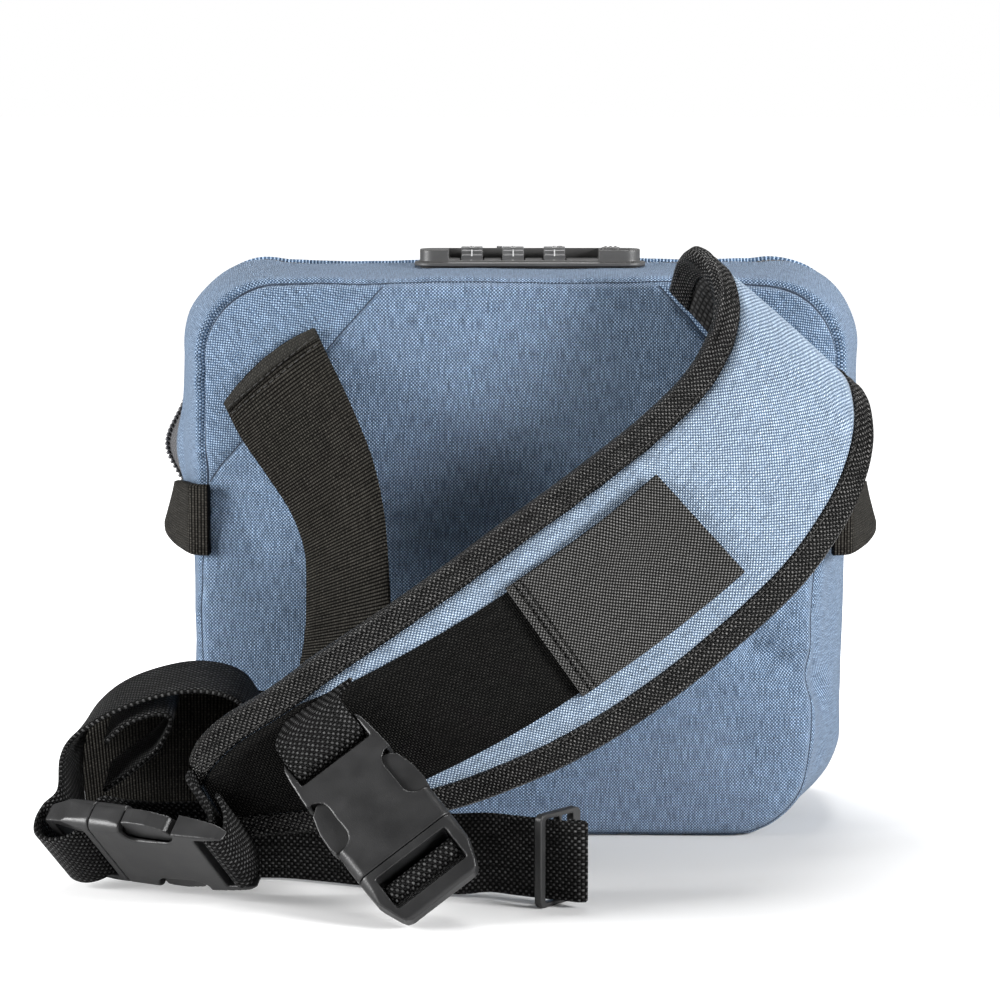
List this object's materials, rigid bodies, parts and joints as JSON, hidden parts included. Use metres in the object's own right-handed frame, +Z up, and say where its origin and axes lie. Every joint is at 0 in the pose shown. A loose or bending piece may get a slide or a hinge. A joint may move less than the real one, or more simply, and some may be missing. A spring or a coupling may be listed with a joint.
{
  "type": "crossbody bag",
  "caption": "Small zipped crossbody bag with a combination lock on top, a padded shoulder strap, side-release buckles and a webbing slide.",
  "frame": {"origin": "middle of the flat underside of the bag", "axes": "+X to the wearer's right, seen from the back panel as right; +Y from the back panel to the front; +Z up"},
  "size_m": [0.2675, 0.2073, 0.1941],
  "materials": {
    "fabric": "matt heather weave",
    "webbing": "matt ribbed weave",
    "binding": "matt ribbed weave",
    "sleeve": "matt twill weave",
    "moulding": "satin",
    "dial": "satin",
    "steel": "satin",
    "zip": "matt tape with a satin coil",
    "board": "matt"
  },
  "bodies": {
    "bag": {"back_panel": "fabric", "back_corner_left": "fabric", "back_corner_right": "fabric", "rear_gusset": "fabric", "side_panel_left": "fabric", "side_panel_right": "fabric", "bottom_panel": "fabric", "base_board": "board", "front_panel_lower": "fabric", "zip_rear": "zip", "zip_tab_left": "webbing", "zip_tab_right": "webbing", "lock_housing": "moulding", "lock_clamp": "moulding", "lock_screws": "steel", "dial_shaft": "steel", "corner_webbing": "webbing", "shoulder_pad": "fabric", "binding_upper": "binding", "binding_lower": "binding", "pad_webbing": "webbing", "webbing_sleeve": "sleeve", "stabiliser_webbing": "webbing", "buckle1_female": "moulding", "buckle1_male": "moulding", "buckle1_webbing": "webbing", "pad_tip_webbing": "webbing", "buckle2_female": "moulding", "buckle2_male": "moulding", "pile_webbing": "webbing", "curl_webbing": "webbing", "floor_webbing": "webbing"},
    "flap": {"front_panel_upper": "fabric", "front_gusset": "fabric", "zip_front": "zip"},
    "slider_left": {"slider_left": "moulding"},
    "slider_right": {"slider_right": "moulding"},
    "pull_left": {"pull_left": "moulding"},
    "pull_right": {"pull_right": "moulding"},
    "dial_1": {"dial_1": "dial"},
    "dial_2": {"dial_2": "dial"},
    "dial_3": {"dial_3": "dial"},
    "lock_release": {"lock_release": "moulding"},
    "buckle1_arm_left": {"buckle1_arm_left": "moulding"},
    "buckle1_arm_right": {"buckle1_arm_right": "moulding"},
    "buckle2_arm_left": {"buckle2_arm_left": "moulding"},
    "buckle2_arm_right": {"buckle2_arm_right": "moulding"},
    "webbing_slide": {"webbing_slide": "moulding"}
  },
  "joints": [
    {"name": "flap_open", "type": "hinge", "parent": "bag", "child": "flap", "pos_m": [0, 0.0465, 0.108], "axis": [-1, 0, 0], "range_deg": [0, 70]},
    {"name": "slider_left_run", "type": "slide", "parent": "flap", "child": "slider_left", "axis": [-1, 0, 0], "range_m": [0, 0.066]},
    {"name": "pull_left_lift", "type": "hinge", "parent": "slider_left", "child": "pull_left", "pos_m": [-0.007, 0.004, 0.18887], "axis": [1, 0, 0], "range_deg": [0, 95]},
    {"name": "slider_right_run", "type": "slide", "parent": "flap", "child": "slider_right", "axis": [1, 0, 0], "range_m": [0, 0.062]},
    {"name": "pull_right_lift", "type": "hinge", "parent": "slider_right", "child": "pull_right", "pos_m": [0.013, 0.004, 0.18887], "axis": [1, 0, 0], "range_deg": [0, 95]},
    {"name": "dial_1_turn", "type": "hinge", "parent": "bag", "child": "dial_1", "pos_m": [-0.016, -0.011, 0.18462], "axis": [1, 0, 0], "continuous": true},
    {"name": "dial_2_turn", "type": "hinge", "parent": "bag", "child": "dial_2", "pos_m": [-0.0025, -0.011, 0.18462], "axis": [1, 0, 0], "continuous": true},
    {"name": "dial_3_turn", "type": "hinge", "parent": "bag", "child": "dial_3", "pos_m": [0.011, -0.011, 0.18462], "axis": [1, 0, 0], "continuous": true},
    {"name": "release_slide", "type": "slide", "parent": "bag", "child": "lock_release", "axis": [1, 0, 0], "range_m": [0, 0.003], "stiffness_N_per_m": 40},
    {"name": "buckle1_right_press", "type": "hinge", "parent": "bag", "child": "buckle1_arm_right", "pos_m": [-0.04477, -0.14784, 0.01573], "axis": [0.1681, 0.8264, -0.5374], "range_deg": [0, 7], "stiffness_Nm_per_rad": 0.02},
    {"name": "buckle1_left_press", "type": "hinge", "parent": "bag", "child": "buckle1_arm_left", "pos_m": [-0.02689, -0.14305, 0.02869], "axis": [-0.1681, -0.8264, 0.5374], "range_deg": [0, 7], "stiffness_Nm_per_rad": 0.02},
    {"name": "buckle2_right_press", "type": "hinge", "parent": "bag", "child": "buckle2_arm_right", "pos_m": [-0.11699, -0.11355, 0.00905], "axis": [-0.3368, -0.6076, -0.7193], "range_deg": [0, 7], "stiffness_Nm_per_rad": 0.02},
    {"name": "buckle2_left_press", "type": "hinge", "parent": "bag", "child": "buckle2_arm_left", "pos_m": [-0.12487, -0.12777, 0.02475], "axis": [0.3368, 0.6076, 0.7193], "range_deg": [0, 7], "stiffness_Nm_per_rad": 0.02},
    {"name": "slide_along_strap", "type": "slide", "parent": "bag", "child": "webbing_slide", "axis": [0.9042, -0.427, 0], "range_m": [-0.014, 0]}
  ],
  "couplings": [
    {"joint": "buckle1_left_press", "follows": "buckle1_right_press", "ratio": 1},
    {"joint": "buckle2_left_press", "follows": "buckle2_right_press", "ratio": 1}
  ]
}
